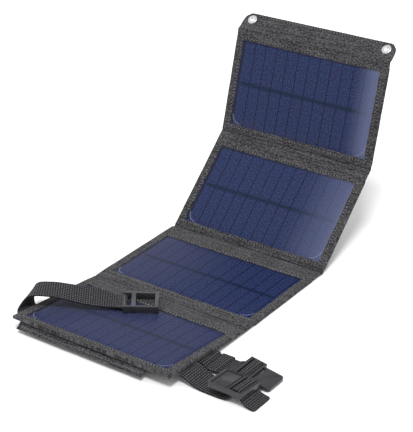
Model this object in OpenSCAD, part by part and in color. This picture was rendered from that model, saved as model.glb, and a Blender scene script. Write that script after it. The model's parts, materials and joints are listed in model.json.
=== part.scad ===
// Folding solar charger: four fabric covered solar panels in one strip, with a
// hanging tab at the top, a pocket with the output box under the base panel,
// and webbing straps with a ring and two hook buckles on the base panel.
//
// The strip is drawn laid flat along Y and then folded at its creases into the
// standing shape. The second panel lies on the ground, and the origin is the
// middle of its underside. X runs across the strip, Z is up, sizes are in mm.

/* [Panels] */
// Width of the strip, across the folds
panel_w = 170; // [160:1:190]
// Thickness of a stiffened panel with both covers
panel_t = 3.4; // [3.2:0.1:4]
// Width of the window over the cells
window_w = 153; // [145:1:155]
// Height of the window over the cells, along the strip
window_h = 83; // [80:1:86]
// Seam between a window and the edge of its stiffened panel
seam = 4; // [3.5:0.5:5]
// Thickness of one fabric layer
fabric_t = 0.5; // [0.4:0.1:0.6]
// Thickness of the stiffener board
board_t = 1.2; // [1:0.1:1.3]

/* [Strip layout] */
// Border in front of the base panel's window
base_front = 8.5; // [7:0.5:12]
// Fabric from the base panel's window to the first crease
base_back = 19.2; // [16:0.2:24]
// Fabric from the first crease to the second panel's window
second_front = 15; // [13:0.2:20]
// Fabric from the second panel's window to the second crease
second_back = 24.1; // [20:0.1:28]
// Fabric from the second crease to the third panel's window
third_front = 9; // [8.8:0.2:12]
// Fabric from the third panel's window to the third crease
third_back = 16.6; // [14:0.2:20]
// Fabric from the third crease to the top panel's window
top_front = 7.4; // [7:0.2:10]
// Fabric from the top panel's window to the tab crease
top_back = 10.5; // [10:0.5:14]
// Height of the hanging tab
tab_h = 19.6; // [18:0.2:24]

/* [Standing shape] */
// Slope of the base panel, which its pocket lifts at the front
base_tilt = 6; // [5:0.5:7]
// Bend at the second crease
second_bend = 41; // [30:1:50]
// Bend at the third crease
third_bend = 31.5; // [20:0.5:40]
// Backward lean of the tab
tab_lean = 35; // [20:1:45]

/* [Closed gaps] */
// Space left for the straps when the second panel lies on the base panel
gap_1 = 17; // [16:0.5:20]
// Space between the backs of the second and third panels when closed
gap_2 = 1.6; // [1:0.2:3]
// Space between the faces of the third and top panels when closed
gap_3 = 4; // [3:0.5:6]

/* [Pocket and output box] */
// Width of the pocket
pocket_w = 136; // [120:1:136]
// Middle of the pocket, left of the strip's middle line
pocket_x = -11; // [-11:1:0]
// Depth of the pocket below the base panel
pocket_drop = 8.6; // [8.4:0.1:9]
// Length of the flap over the pocket's mouth
flap_len = 9.4; // [8:0.2:10]
// Length of the output box
box_l = 58; // [50:1:64]
// Depth of the output box, along the strip
box_d = 20; // [19:0.5:20.5]
// Height of the output box
box_h = 7.4; // [7.3:0.1:7.5]

/* [Webbing] */
// Width of the webbing
webbing_w = 24; // [20:1:25]
// Thickness of the webbing
webbing_t = 1.5; // [1.2:0.1:1.6]
// Direction of the ring strap across the base panel
ring_yaw = 37; // [35:1:40]
// Length of a buckle
buckle_l = 34.6; // [34:0.2:36]
// Width of a buckle
buckle_w = 28; // [28:0.5:28.5]
// Thickness of a buckle's frame
buckle_t = 4.4; // [4:0.1:4.6]
// Width of the hook plate, which passes through the ring
hook_w = 23; // [22:0.5:24]
// Length of the ring from its strap bar to its outer edge
ring_l = 30; // [28:1:31]
// Width of the ring
ring_w = 31; // [30:0.5:32]
// Thickness of the ring
ring_t = 5.6; // [5:0.1:5.8]

/* [Hidden] */
$fn = 64;
eps = 0.01;

// Colours
cloth = [0.20, 0.20, 0.20];
cell_blue = [0.10, 0.14, 0.30];
plastic = [0.12, 0.12, 0.12];
metal = [0.80, 0.80, 0.82];
copper = [0.75, 0.45, 0.25];

// Layers of a stiffened panel, from the back cover up
module_z = fabric_t + board_t;
module_t = panel_t - fabric_t - module_z;
module_w = window_w + 6;
module_h = window_h + 5;
band_z = 1.5;
band_t = 1.3;

// Creases and windows along the flat strip
crease_1 = -window_h / 2 - second_front;
crease_2 = window_h / 2 + second_back;
crease_3 = crease_2 + third_front + window_h + third_back;
tab_crease = crease_3 + top_front + window_h + top_back;
window_y = [
    crease_1 - base_back - window_h,
    -window_h / 2,
    crease_2 + third_front,
    crease_3 + top_front
];
front_edge = window_y[0] - base_front;
block_y = [front_edge, window_y[1] - seam, window_y[2] - seam, window_y[3] - seam];
function block_end(i) = window_y[i] + window_h + seam;

// Heights of the crease axes above the strip's underside
axis_1_z = panel_t + gap_1 / 2;
axis_2_z = -gap_2 / 2;
axis_3_z = panel_t + gap_3 / 2;
tab_axis_z = band_z + band_t / 2;

// Bare fabric left free beside a crease so that neighbours never touch
crease_clear = 2;
crease_2_clear = 3.4;

// Flat leads that run through the seams and bands
lead_w = 8;
lead_t = 0.5;
lead_z = 1.9;
lead_x = 30;
lead_room = 0.1;

// Pocket: the bottom touches the ground at its rear edge
pocket_wall = 0.7;
pocket_front = front_edge + 6.2;
pocket_low = crease_1 - (axis_1_z - (axis_1_z + pocket_drop) * cos(base_tilt)) / -sin(base_tilt);
pocket_rear = pocket_low + 18;
lip_h = 2.6;
flap_t = 0.9;
flap_w = pocket_w + 0.6;
strip_t = 0.8;
strip_h = 2;
strip_inset = 8;

// Output box inside the pocket
box_x = pocket_x - 4;
box_y = pocket_front + 1.6;
box_bottom = -pocket_drop + pocket_wall + 0.1;
box_wall = 0.8;
box_split = box_h - 1.2;
board_z = box_bottom + box_wall + 0.1;
pcb_t = 0.7;
pcb_inset = 1.2;
usb_w = 13.1;
usb_h = 5.5;
usb_l = 14;
usb_wall = 0.4;
usb_x = box_x + 12;
usb_z = board_z + pcb_t;
light_x = box_x - 16;
light_z = usb_z + 2.6;
light_r = 1;

// Buckle bars, measured along a buckle from its outer bar
bar_w = 2.6;
strap_bar_x = 7.8;
strap_bar_r = 1.5;
second_bar_x = 13.4;
second_bar_w = 2.2;
slit_w = 1.8;
slit_x = second_bar_x + second_bar_w;
plate_x = slit_x + slit_w;
rail_w = 1.7;
rail_in = buckle_w / 2 - rail_w;
corner_r = 3;
plate_drop = 1.4;
loop_gap = 0.1;
loop_in = strap_bar_r + loop_gap;
loop_out = loop_in + webbing_t;
ring_leg = 9;
far_leg = 11;

// Bars of the ring, measured along it from its strap bar
ring_rail = 2.6;
ring_slit = 6;
ring_cross = 3.8;
ring_outer = 3.4;

// Places of the buckles and the ring
strap_mid_near = -142.5;
strap_mid_far = -114;
near_pos = [148.2, strap_mid_near, 10.7];
near_bank = -4.5;
far_pos = [118.9, strap_mid_far, 8.1];
far_pitch = 9;
ring_pos = [-24, -88.8, 6.9];

// Edge of the panel from which the straps swing
strap_edge = panel_w / 2 + 2.5;

// Stations of the ring strap in the base panel's own frame: x, y, z, the
// direction of the strap's width and the rise of its far edge
ring_route = [
    [-strap_edge - 0.6, -143.2, -1.0, 90, 0],
    [-91.3, -142.6, -0.3, 92, 0],
    [-93.4, -140.4, 2.3, 97, 1],
    [-93.9, -137.6, 6, 103, 2],
    [-93.0, -136, 10, 109, 3],
    [-90.3, -135.6, 13.8, 115, 4],
    [-86.3, -134.9, 16.3, 120, 5],
    [-81.6, -133, 17.4, 124, 6],
    [-76.4, -130, 17.6, 90 + ring_yaw, 7],
    [-70.6, -125.5, 17.0, 90 + ring_yaw, 9],
    [-64.3, -120.7, 15.6, 90 + ring_yaw, 11],
    [-58.1, -116, 14.1, 90 + ring_yaw, 13],
    [-51.8, -111.2, 12.7, 90 + ring_yaw, 16],
    [-44.1, -105.3, 11.2, 90 + ring_yaw, 16],
    [-37.1, -99.5, 9.3, 90 + ring_yaw, 11],
    [-31.2, -94.5, 7.5, 90 + ring_yaw, 4]
];

// Stations of the near strap, from the panel's edge down to the ground
near_route = [
    [strap_edge + 0.6, strap_mid_near, 7.6, 90, 0],
    [91.5, strap_mid_near, 6.3, 90, 0],
    [96, strap_mid_near, 4.0, 90, 0],
    [101, strap_mid_near, 2.2, 90, 0],
    [107, strap_mid_near, 1.1, 90, 0],
    [115, strap_mid_near, 0.85, 90, 0],
    [123, strap_mid_near, 0.9, 90, 0],
    [129, strap_mid_near, 1.8, 90, 0],
    [132.8, strap_mid_near, 3.2, 90, -1]
];

// Stations of the near strap's end: up over the buckle's bar and down to the ground
near_bar = [near_pos[0] - strap_bar_x, near_pos[2]];
wrap_x = 4;
wrap_z = 2.9;
near_tail_route = concat(
    [
        [133.8, strap_mid_near, 3.8, 90, -1],
        [135.6, strap_mid_near, 6.6, 90, -3]
    ],
    [for (a = [190:-20:-10])
        [near_bar[0] + wrap_x * cos(a), strap_mid_near, near_bar[1] + wrap_z * sin(a),
            90, near_bank]],
    [
        [144.7, strap_mid_near, 7.8, 90, -4],
        [146.4, strap_mid_near, 5, 90, -3],
        [149.6, strap_mid_near, 2.8, 90, -1.5],
        [153.8, strap_mid_near, 1.4, 90, -0.5],
        [158.6, strap_mid_near, 0.9, 90, 0]
    ]
);

// Stations of the far strap, low and level under its keeper
far_route = [
    [strap_edge + 0.4, strap_mid_far, 4.6, 90, 0],
    [89.2, strap_mid_far, 3, 90, 0],
    [90.8, strap_mid_far, 2.3, 90, 0],
    [92.6, strap_mid_far, 2.15, 90, 0],
    [108, strap_mid_far, 2.15, 90, 0],
    [111, strap_mid_far, 3, 90, 0],
    [114.2, strap_mid_far, 4.3, 90, 0]
];
keeper_x = 91.4;
keeper_l = 11.6;
keeper_t = 1;
keeper_gap = 0.45;

// Turns the children about a crease line across the strip
module fold(y, z, angle) {
    translate([0, y, z])
        rotate([angle, 0, 0])
            translate([0, -y, -z])
                children();
}

module on_base() {
    fold(crease_1, axis_1_z, -base_tilt) children();
}

module on_third() {
    fold(crease_2, axis_2_z, second_bend) children();
}

module on_top() {
    on_third() fold(crease_3, axis_3_z, third_bend) children();
}

module on_tab() {
    on_top() fold(tab_crease, tab_axis_z, -tab_lean) children();
}

// A plate centred across the strip
module plate(w, y, length, z, t) {
    translate([-w / 2, y, z]) cube([w, length, t]);
}

// The flat leads from y_from to y_to, grown by room on every side
module leads(y_from, y_to, room) {
    for (side = [-1, 1])
        translate([side * lead_x - lead_w / 2 - room, y_from, lead_z - room])
            cube([lead_w + 2 * room, y_to - y_from, lead_t + 2 * room]);
}

// Laminated solar module of one panel
module solar_module(i) {
    color(cell_blue)
        plate(module_w, window_y[i] + window_h / 2 - module_h / 2, module_h, module_z, module_t);
}

module stiffener_board(i) {
    color(plastic)
        difference() {
            plate(module_w, window_y[i] + window_h / 2 - module_h / 2, module_h, fabric_t, board_t);
            if (i == 0) output_lead_holes();
        }
}

// Front fabric with its window and the turned seam around the board
module front_cover(i) {
    color(cloth)
        difference() {
            plate(panel_w, block_y[i], block_end(i) - block_y[i], fabric_t, panel_t - fabric_t);
            plate(window_w, window_y[i], window_h, 0, panel_t + 1);
            plate(module_w, window_y[i] + window_h / 2 - module_h / 2, module_h,
                0, module_z + module_t);
            leads(block_y[i] - 1, window_y[i] + 1, lead_room);
            leads(block_end(i) - seam - 1, block_end(i) + 1, lead_room);
        }
}

module back_cover(i) {
    color(cloth)
        difference() {
            plate(panel_w, block_y[i], block_end(i) - block_y[i], 0, fabric_t);
            if (i == 0) output_lead_holes();
        }
}

// The leads of one panel, from its module's edges to just short of its creases
module link_leads(i) {
    middle = window_y[i] + window_h / 2;
    low_end = [middle - module_h / 2, crease_1 + 3.5, crease_2 + 3, crease_3 + 2.5];
    high_end = [crease_1 - 3.5, crease_2 - 4.5, crease_3 - 3, middle + module_h / 2];
    color(copper) {
        if (i > 0) leads(low_end[i], middle - module_h / 2, 0);
        if (i < 3) leads(middle + module_h / 2, high_end[i], 0);
    }
}

// Bare fabric between a stiffened panel and a crease
module fold_band(y_from, y_to) {
    color(cloth)
        difference() {
            plate(panel_w, y_from, y_to - y_from, band_z, band_t);
            leads(y_from - 1, y_to + 1, lead_room);
        }
}

// Hanging tab with rounded ears
tab_z = 0.9;
tab_t = 1.6;
tab_corner = 9;
eyelet_x = 75;
eyelet_y = tab_crease + 12;
eyelet_bore = 2.4;
eyelet_barrel = 2.9;
eyelet_flange = 4.8;
flange_t = 0.7;

module tab_outline() {
    straight = tab_h - tab_corner;
    union() {
        translate([-panel_w / 2, crease_clear / 2]) square([panel_w, straight - crease_clear / 2]);
        translate([-panel_w / 2 + tab_corner, 0]) square([panel_w - 2 * tab_corner, tab_h]);
        for (side = [-1, 1])
            translate([side * (panel_w / 2 - tab_corner), straight]) circle(tab_corner);
    }
}

module hang_tab() {
    color(cloth)
        difference() {
            translate([0, tab_crease, tab_z]) linear_extrude(tab_t) tab_outline();
            plate(panel_w, tab_crease - eps, 1, 0, panel_t);
            at_eyelets() cylinder(h = panel_t * 2, r = eyelet_barrel, center = true);
        }
}

module at_eyelets() {
    for (side = [-1, 1])
        translate([side * eyelet_x, eyelet_y, tab_z]) children();
}

// Front flange with a rounded rim, and the barrel through the tab
module eyelets() {
    color(metal)
        at_eyelets()
            rotate_extrude() {
                translate([eyelet_bore, -flange_t])
                    square([eyelet_barrel - eyelet_bore, tab_t + 2 * flange_t]);
                translate([eyelet_bore, tab_t])
                    square([eyelet_flange - eyelet_bore - flange_t, flange_t]);
                intersection() {
                    translate([eyelet_flange - flange_t, tab_t]) circle(flange_t);
                    translate([eyelet_bore, tab_t]) square([eyelet_flange, flange_t]);
                }
            }
}

// Flat washer that the barrel is clenched over at the back
module eyelet_washers() {
    color(metal)
        at_eyelets()
            translate([0, 0, -flange_t])
                difference() {
                    cylinder(h = flange_t, r = eyelet_flange);
                    translate([0, 0, -1]) cylinder(h = flange_t + 2, r = eyelet_barrel);
                }
}

// Extrudes an outline drawn in the strip's side view across the strip
module across(x_from, x_to) {
    translate([x_from, 0, 0])
        rotate([90, 0, 90])
            linear_extrude(x_to - x_from)
                children();
}

// Side view of the pocket: flat bottom to the resting edge, then a slope up
module pocket_side(inset) {
    polygon([
        [pocket_front - (inset > 0 ? 1 : 0), inset > 0 ? 1 : 0],
        [pocket_front - (inset > 0 ? 1 : 0), -pocket_drop + inset],
        [pocket_low - inset / 2, -pocket_drop + inset],
        [pocket_rear - 2 * inset, -inset],
        [pocket_rear - 2 * inset, inset > 0 ? 1 : 0]
    ]);
}

module pocket() {
    left = pocket_x - pocket_w / 2;
    color(cloth)
        union() {
            difference() {
                across(left, left + pocket_w) pocket_side(0);
                across(left + pocket_wall, left + pocket_w - pocket_wall) pocket_side(pocket_wall);
            }
            translate([left, pocket_front, -pocket_drop])
                cube([pocket_w, pocket_wall, lip_h]);
        }
}

// Loop half of the pocket's fastener, sewn on the lip
module pocket_loop_strip() {
    color(plastic)
        translate([pocket_x - pocket_w / 2 + strip_inset, pocket_front - strip_t, -pocket_drop + 0.4])
            cube([pocket_w - 2 * strip_inset, strip_t, strip_h]);
}

// The flap hangs from the front edge in front of the pocket's mouth
flap_y = front_edge + 5.6;
flap_z = -1.1;
flap_rake = 45;

module on_flap() {
    translate([pocket_x, flap_y, flap_z]) rotate([-flap_rake, 0, 0]) children();
}

module pocket_flap() {
    hem = 2.2;
    color(cloth)
        on_flap() {
            translate([-flap_w / 2, -flap_t, -flap_len]) cube([flap_w, flap_t, flap_len]);
            translate([-flap_w / 2, -flap_t - 0.4, -flap_len]) cube([flap_w, 0.4 + eps, hem]);
        }
}

// Hook half of the fastener, sewn inside the flap
module flap_hook_strip() {
    color(plastic)
        on_flap()
            translate([-pocket_w / 2 + strip_inset, 0, -flap_len + 0.3])
                cube([pocket_w - 2 * strip_inset, strip_t, strip_h]);
}

// Holes and wires from the base panel's module down into the output box
module at_output_leads() {
    for (side = [-1, 1])
        translate([box_x + side * 6, box_y + box_d - 4, 0]) children();
}

module output_lead_holes() {
    at_output_leads() cylinder(h = 20, r = 0.8, center = true);
}

module output_leads() {
    bottom = board_z + pcb_t;
    color(copper)
        at_output_leads()
            translate([0, 0, bottom]) cylinder(h = module_z - bottom, r = 0.6);
}

// Lower shell of the output box with the port opening in its front wall
module output_box_base() {
    color(plastic)
        difference() {
            translate([box_x - box_l / 2, box_y, box_bottom]) cube([box_l, box_d, box_split]);
            translate([box_x - box_l / 2 + box_wall, box_y + box_wall, box_bottom + box_wall])
                cube([box_l - 2 * box_wall, box_d - 2 * box_wall, box_h]);
            translate([usb_x - usb_w / 2, box_y - 1, usb_z]) cube([usb_w, 3, usb_h]);
            translate([light_x, box_y - 1, light_z])
                rotate([-90, 0, 0]) cylinder(h = 3, r = light_r);
        }
}

module output_box_lid() {
    color(plastic)
        difference() {
            translate([box_x - box_l / 2, box_y, box_bottom + box_split])
                cube([box_l, box_d, box_h - box_split]);
            output_lead_holes();
            translate([usb_x - usb_w / 2, box_y - 1, usb_z])
                cube([usb_w, usb_l + 1.2, usb_h + 0.05]);
        }
}

module circuit_board() {
    color("darkgreen")
        translate([box_x - box_l / 2 + pcb_inset, box_y + pcb_inset, board_z])
            cube([box_l - 2 * pcb_inset, box_d - 2 * pcb_inset, pcb_t]);
}

module usb_shell() {
    color(metal)
        difference() {
            translate([usb_x - usb_w / 2, box_y, usb_z]) cube([usb_w, usb_l, usb_h]);
            translate([usb_x - usb_w / 2 + usb_wall, box_y - 1, usb_z + usb_wall])
                cube([usb_w - 2 * usb_wall, usb_l, usb_h - 2 * usb_wall]);
        }
}

module usb_tongue() {
    color("white")
        translate([usb_x - 5.6, box_y + 2, usb_z + usb_h - usb_wall - 2.4])
            cube([11.2, usb_l - 3, 1.7]);
}

// Light pipe of the charging light
module charge_light() {
    color("lightgreen")
        translate([light_x, box_y, light_z])
            rotate([-90, 0, 0]) cylinder(h = 4, r = light_r);
}

// Sewn ends of the three straps, under the base panel's edges
sewn_left = -143;
sewn_near = -142.2;
sewn_far = -115.6;
sewn_l = 25;
sewn_out = 1.2;

module strap_base(x_from, x_to, middle) {
    color(cloth)
        translate([x_from, middle - webbing_w / 2, -webbing_t - 0.1])
            cube([x_to - x_from, webbing_w, webbing_t]);
}

// Ribbon through a list of stations
function across_dir(s) = [cos(s[3]) * cos(s[4]), sin(s[3]) * cos(s[4]), sin(s[4])];
function point(s) = [s[0], s[1], s[2]];
function unit(v) = v / norm(v);
function ahead(route, i) = point(route[min(i + 1, len(route) - 1)]) - point(route[max(i - 1, 0)]);
function ribbon_corners(route, i, w, t) =
    let (side = across_dir(route[i]), up = unit(cross(side, ahead(route, i))))
    [for (k = [[-1, -1], [1, -1], [1, 1], [-1, 1]])
        point(route[i]) + side * (k[0] * w / 2) + up * (k[1] * t / 2)];

module ribbon(route) {
    n = len(route);
    last = 4 * (n - 1);
    polyhedron(
        points = [for (i = [0:n - 1]) each ribbon_corners(route, i, webbing_w, webbing_t)],
        faces = concat(
            [[0, 1, 2, 3]],
            [for (i = [0:n - 2], k = [0:3]) each [
                [4 * i + k, 4 * i + 4 + k, 4 * i + (k + 1) % 4],
                [4 * i + (k + 1) % 4, 4 * i + 4 + k, 4 * i + 4 + (k + 1) % 4]
            ]],
            [[last + 3, last + 2, last + 1, last]]
        )
    );
}

module ring_strap() {
    color(cloth) on_base() ribbon(ring_route);
}

module near_strap() {
    color(cloth) ribbon(near_route);
}

module near_strap_tail() {
    color(cloth) ribbon(near_tail_route);
}

module far_strap() {
    color(cloth) ribbon(far_route);
}

// A rod across a strap, centred on its bar's axis
module rod(r, length) {
    rotate([90, 0, 0]) cylinder(h = length, r = r, center = true);
}

// Sewn webbing eye around a bar, with the doubled webbing behind it
module webbing_eye(leg_x, leg_z) {
    difference() {
        union() {
            rod(loop_out, webbing_w);
            translate([-leg_x, -webbing_w / 2, leg_z]) cube([leg_x, webbing_w, 2 * webbing_t]);
        }
        rod(loop_in, webbing_w + 1);
    }
}

module on_ring() {
    on_base() translate(ring_pos) rotate([0, 0, ring_yaw]) children();
}

module ring_strap_loop() {
    color(cloth) on_ring() webbing_eye(ring_leg, -webbing_t);
}

// A bar or window across a buckle or the ring
module across_cut(x, length, half_w, t) {
    translate([x, -half_w, -t]) cube([length, 2 * half_w, 2 * t]);
}

// Rectangular ring: strap bar, slit, cross bar, wide window and outer bar
module strap_ring() {
    half_w = ring_w / 2 - ring_rail;
    window_x = ring_slit + ring_cross;
    color(plastic)
        on_ring() {
            difference() {
                translate([-strap_bar_r, -ring_w / 2, -ring_t / 2])
                    cube([ring_l + strap_bar_r, ring_w, ring_t]);
                across_cut(-strap_bar_r - 1, strap_bar_r + 1 + ring_slit, half_w, ring_t);
                across_cut(window_x, ring_l - window_x - ring_outer, half_w, ring_t);
            }
            rod(strap_bar_r, ring_w - 1);
        }
}

// Outline of a buckle with rounded corners at its far end
module buckle_outline(length, w) {
    square_end = length - corner_r;
    translate([0, -w / 2]) square([square_end, w]);
    translate([0, -w / 2 + corner_r]) square([length, w - 2 * corner_r]);
    for (side = [-1, 1])
        translate([square_end, side * (w / 2 - corner_r)]) circle(corner_r);
}

// Receiving buckle: window with the strap bar, slit and a sunk grip plate
module catch_buckle() {
    rim = 2.5;
    color(plastic)
        union() {
            difference() {
                translate([0, 0, -buckle_t / 2]) linear_extrude(buckle_t)
                    buckle_outline(buckle_l, buckle_w);
                across_cut(bar_w, second_bar_x - bar_w, rail_in, buckle_t);
                across_cut(slit_x, slit_w, rail_in, buckle_t);
                translate([plate_x, -rail_in, buckle_t / 2 - 1])
                    cube([buckle_l - plate_x - rim, 2 * rail_in, buckle_t]);
                translate([plate_x, -rail_in, -buckle_t])
                    cube([buckle_l - plate_x - rim, 2 * rail_in, buckle_t / 2 + 0.6]);
            }
            translate([strap_bar_x, 0, 0]) rod(strap_bar_r, buckle_w - 1);
        }
}

// Hook buckle: window with the strap bar, slit and a low, narrow hook plate
module hook_buckle() {
    hook_t = buckle_t - plate_drop;
    color(plastic)
        union() {
            difference() {
                translate([0, -buckle_w / 2, -buckle_t / 2])
                    cube([second_bar_x + second_bar_w, buckle_w, buckle_t]);
                across_cut(bar_w, second_bar_x - bar_w, rail_in, buckle_t);
            }
            difference() {
                translate([second_bar_x, 0, -buckle_t / 2])
                    linear_extrude(hook_t) buckle_outline(buckle_l - second_bar_x, hook_w);
                across_cut(slit_x, slit_w, hook_w / 2 - rail_w, buckle_t);
            }
            translate([strap_bar_x, 0, 0]) rod(strap_bar_r, buckle_w - 1);
        }
}

// The catch buckle is turned back over the near strap
module near_buckle() {
    translate(near_pos) rotate([-near_bank, 0, 180]) catch_buckle();
}

module on_far_buckle() {
    translate(far_pos) rotate([0, far_pitch, 0]) children();
}

module far_buckle() {
    on_far_buckle() hook_buckle();
}

// The far strap is sewn back on itself below the buckle's outer bar
module far_strap_loop() {
    color(cloth)
        on_far_buckle()
            translate([strap_bar_x, 0, 0])
                webbing_eye(far_leg, -2 * webbing_t - buckle_t / 2 - 0.15);
}

// Elastic keeper loop around the far strap
module far_keeper() {
    inner_w = webbing_w + 2 * keeper_gap;
    inner_h = webbing_t + 2 * keeper_gap;
    level = far_route[3][2];
    color(cloth)
        translate([keeper_x, strap_mid_far, level])
            difference() {
                translate([0, -inner_w / 2 - keeper_t, -inner_h / 2 - keeper_t])
                    cube([keeper_l, inner_w + 2 * keeper_t, inner_h + 2 * keeper_t]);
                translate([-1, -inner_w / 2, -inner_h / 2]) cube([keeper_l + 2, inner_w, inner_h]);
            }
}

module panel_part(i) {
    if (i == 0) on_base() children();
    if (i == 1) children();
    if (i == 2) on_third() children();
    if (i == 3) on_top() children();
}

panel_part(0) solar_module(0);  // solar_module_1
panel_part(1) solar_module(1);  // solar_module_2
panel_part(2) solar_module(2);  // solar_module_3
panel_part(3) solar_module(3);  // solar_module_4
panel_part(0) stiffener_board(0);  // stiffener_board_1
panel_part(1) stiffener_board(1);  // stiffener_board_2
panel_part(2) stiffener_board(2);  // stiffener_board_3
panel_part(3) stiffener_board(3);  // stiffener_board_4
panel_part(0) front_cover(0);  // front_cover_1
panel_part(1) front_cover(1);  // front_cover_2
panel_part(2) front_cover(2);  // front_cover_3
panel_part(3) front_cover(3);  // front_cover_4
panel_part(0) back_cover(0);  // back_cover_1
panel_part(1) back_cover(1);  // back_cover_2
panel_part(2) back_cover(2);  // back_cover_3
panel_part(3) back_cover(3);  // back_cover_4
panel_part(0) link_leads(0);  // link_leads_1
panel_part(1) link_leads(1);  // link_leads_2
panel_part(2) link_leads(2);  // link_leads_3
panel_part(3) link_leads(3);  // link_leads_4
on_base() fold_band(block_end(0), crease_1 - crease_clear);  // fold_band_1_front
fold_band(crease_1 + crease_clear, block_y[1]);  // fold_band_1_back
fold_band(block_end(1), crease_2 - crease_2_clear);  // fold_band_2
on_third() fold_band(block_end(2), crease_3 - crease_clear);  // fold_band_3
on_top() fold_band(block_end(3), tab_crease - 0.5);  // tab_band
on_tab() hang_tab();
on_tab() eyelets();
on_tab() eyelet_washers();
on_base() pocket();
on_base() pocket_loop_strip();
on_base() pocket_flap();
on_base() flap_hook_strip();
on_base() output_box_base();
on_base() output_box_lid();
on_base() circuit_board();
on_base() usb_shell();
on_base() usb_tongue();
on_base() charge_light();
on_base() output_leads();
on_base() strap_base(-strap_edge, pocket_x - pocket_w / 2 - 0.5, sewn_left);  // strap_base_left
on_base() strap_base(panel_w / 2 - sewn_l, panel_w / 2 + sewn_out, sewn_near);  // strap_base_near
on_base() strap_base(panel_w / 2 - sewn_l, panel_w / 2 + sewn_out, sewn_far);  // strap_base_far
ring_strap();
ring_strap_loop();
strap_ring();
near_strap();
near_strap_tail();
near_buckle();
far_strap();
far_strap_loop();
far_keeper();
far_buckle();
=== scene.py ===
"""Folding solar charger: the looks, built around the CAD frame. Metres, +Z up.

The fabric strip is drawn flat, with X across it and a flat coordinate along it, and laid on the
panels' own frames, which are read from the CAD nodes. It is blended from panel to panel at the folds.
"""

import json
import math
from collections import namedtuple

import bmesh
import bpy
from mathutils import Matrix, Vector, noise


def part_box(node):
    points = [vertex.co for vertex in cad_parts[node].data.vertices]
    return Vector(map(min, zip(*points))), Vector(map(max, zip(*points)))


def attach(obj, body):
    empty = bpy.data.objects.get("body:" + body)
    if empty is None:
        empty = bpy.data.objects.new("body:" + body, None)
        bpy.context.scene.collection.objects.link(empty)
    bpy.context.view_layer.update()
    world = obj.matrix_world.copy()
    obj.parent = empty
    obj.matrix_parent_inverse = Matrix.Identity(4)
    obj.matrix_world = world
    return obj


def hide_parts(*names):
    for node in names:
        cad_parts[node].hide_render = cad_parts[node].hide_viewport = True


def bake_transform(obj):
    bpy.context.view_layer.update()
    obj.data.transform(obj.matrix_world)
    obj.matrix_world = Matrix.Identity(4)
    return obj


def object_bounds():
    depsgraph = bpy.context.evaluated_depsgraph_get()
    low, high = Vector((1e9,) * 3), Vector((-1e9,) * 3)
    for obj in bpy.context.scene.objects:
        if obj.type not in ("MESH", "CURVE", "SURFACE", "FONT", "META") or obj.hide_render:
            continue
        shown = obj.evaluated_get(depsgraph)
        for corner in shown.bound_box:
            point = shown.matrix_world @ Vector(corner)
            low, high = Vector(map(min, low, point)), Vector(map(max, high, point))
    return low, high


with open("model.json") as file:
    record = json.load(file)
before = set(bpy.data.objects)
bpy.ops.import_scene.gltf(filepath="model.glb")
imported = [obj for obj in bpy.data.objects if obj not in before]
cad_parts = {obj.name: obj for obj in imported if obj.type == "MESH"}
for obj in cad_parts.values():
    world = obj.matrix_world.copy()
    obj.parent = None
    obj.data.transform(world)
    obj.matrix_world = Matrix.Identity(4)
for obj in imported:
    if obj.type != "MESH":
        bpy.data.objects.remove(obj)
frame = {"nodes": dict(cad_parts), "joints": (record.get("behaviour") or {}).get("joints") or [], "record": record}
cad_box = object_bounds()

MM = 0.001
ACROSS = Vector((1, 0, 0))

# Camera: where it looks, from what side, and how far away
CAMERA_TARGET = Vector((0.0434, -0.0560, 0.0998))
CAMERA_AZIMUTH = 36.68
CAMERA_ELEVATION = 27.11
CAMERA_ROLL = -1.46
CAMERA_DISTANCE = 1.3
CAMERA_LENS = 134.1

# Strip of fabric
EDGE_RADIUS = 0.9 * MM
EDGE_NOTCH = 0.45 * MM
LIP_RADIUS = 0.9 * MM
LIP_DROP = 0.35 * MM
WINDOW_FLOOR = 1.9 * MM
CELL_TUCK = 0.5 * MM
CELL_MARGIN = 2.4 * MM
SEAM_OUT = 2.3 * MM
SEAM_DIP = 0.22 * MM
BLOCK_SLOPE = 1.8 * MM
BAND_PROUD = 0.4 * MM
LEAD_REACH = 2.5 * MM
LEAD_WIDTH = 8 * MM
WRINKLE_LIMIT = 0.65 * MM
EDGE_WANDER = 0.32 * MM
TAB_CORNER = 9 * MM
EYELET_HOLE = 3.1 * MM

# Painted reflection on each panel's cells: where it starts and is full, in half widths, and its strength
PAINTED_REFLECTIONS = [(-1.4, -1.0, 0.10), (0.5, -1.1, 0.15), (0.3, 1.1, 0.42), (0.66, 1.02, 0.60)]

# Millimetres outward from a window's edge where the fabric needs close rows
RIM_STEPS = [-0.15, 0, 0.15, 0.4, 0.9, 1.5, 1.9, 2.3, 2.7, 3.3]

# Stitching
STITCH_PITCH = 3.1 * MM
STITCH_LENGTH = 1.7 * MM
STITCH_RADIUS = 0.36 * MM
HOLE_RADIUS = 0.85 * MM
HOLE_STEP = 0.2 * MM

# Webbing
WEB_NOSE = 0.6 * MM
WEB_STEP = 1.1 * MM
EYE_STEP = 0.7 * MM

# Pocket: lip at its mouth, rounding at its sides, cloth; flap: hem and the cloth folded into it
POCKET_LIP = 2.6 * MM
POCKET_ROUND = 5 * MM
POCKET_WALL = 0.7 * MM
FLAP_HEM = 2.2 * MM
FLAP_FOLD = 0.4 * MM

# Bars of the buckles, from the middle of the strap bar to the outer edge
STRAP_BAR = 7.8 * MM
BAR_RADIUS = 1.5 * MM

# Grip plate of the front buckle, measured from the buckle's outer edge, and its arcs
GRIP_START = 17.4 * MM
GRIP_RIM = 2.5 * MM
BUCKLE_RAIL = 1.7 * MM
ARC_PITCH = 2.2 * MM
BUCKLE_COLOUR = (0.013, 0.013, 0.016, 1)

Column = namedtuple("Column", "at fullness")


# ---------------- reading the frame


def node_points(name):
    return [vertex.co.copy() for vertex in frame["nodes"][name].data.vertices]


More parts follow.
